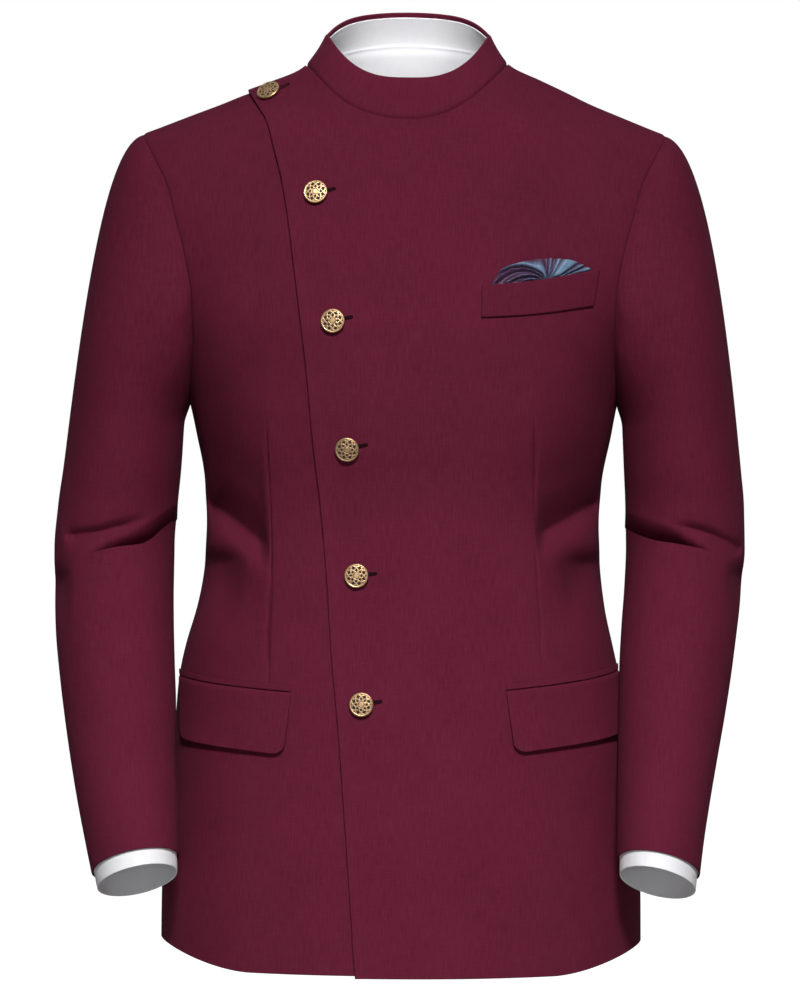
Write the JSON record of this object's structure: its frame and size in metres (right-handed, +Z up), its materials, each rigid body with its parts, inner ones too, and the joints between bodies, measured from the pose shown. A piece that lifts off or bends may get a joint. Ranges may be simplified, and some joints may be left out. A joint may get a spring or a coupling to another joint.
{
  "type": "bandhgala jacket",
  "caption": "Fitted jacket with a stand collar and a cross-over front that buttons up to the right shoulder, flap pockets and a chest pocket, hollow as if worn.",
  "frame": {"origin": "midway between the two side neck points, at the height where the wearer's shoulders carry the jacket", "axes": "+Z up, -Y the way the front faces, +X towards the wearer's left"},
  "size_m": [0.5795, 0.2643, 0.8036],
  "materials": {
    "wine_cloth": "fine matt weave",
    "white_lining": "smooth lining",
    "antique_gold": "satin, engraved",
    "blue_silk": "silk sheen"
  },
  "bodies": {
    "root": {"front_left": "wine_cloth", "front_right": "wine_cloth", "back_left": "wine_cloth", "back_right": "wine_cloth", "sleeve_upper_left": "wine_cloth", "sleeve_upper_right": "wine_cloth", "sleeve_under_left": "wine_cloth", "sleeve_under_right": "wine_cloth", "collar": "wine_cloth", "collar_lining": "white_lining", "yoke_lining": "white_lining", "cuff_lining_left": "white_lining", "cuff_lining_right": "white_lining", "flap_left": "wine_cloth", "flap_right": "wine_cloth", "jetting_left": "wine_cloth", "jetting_right": "wine_cloth", "chest_welt": "wine_cloth", "pocket_square": "blue_silk", "button_1": "antique_gold", "button_2": "antique_gold", "button_3": "antique_gold", "button_4": "antique_gold", "button_5": "antique_gold", "button_6": "antique_gold"}
  },
  "joints": []
}
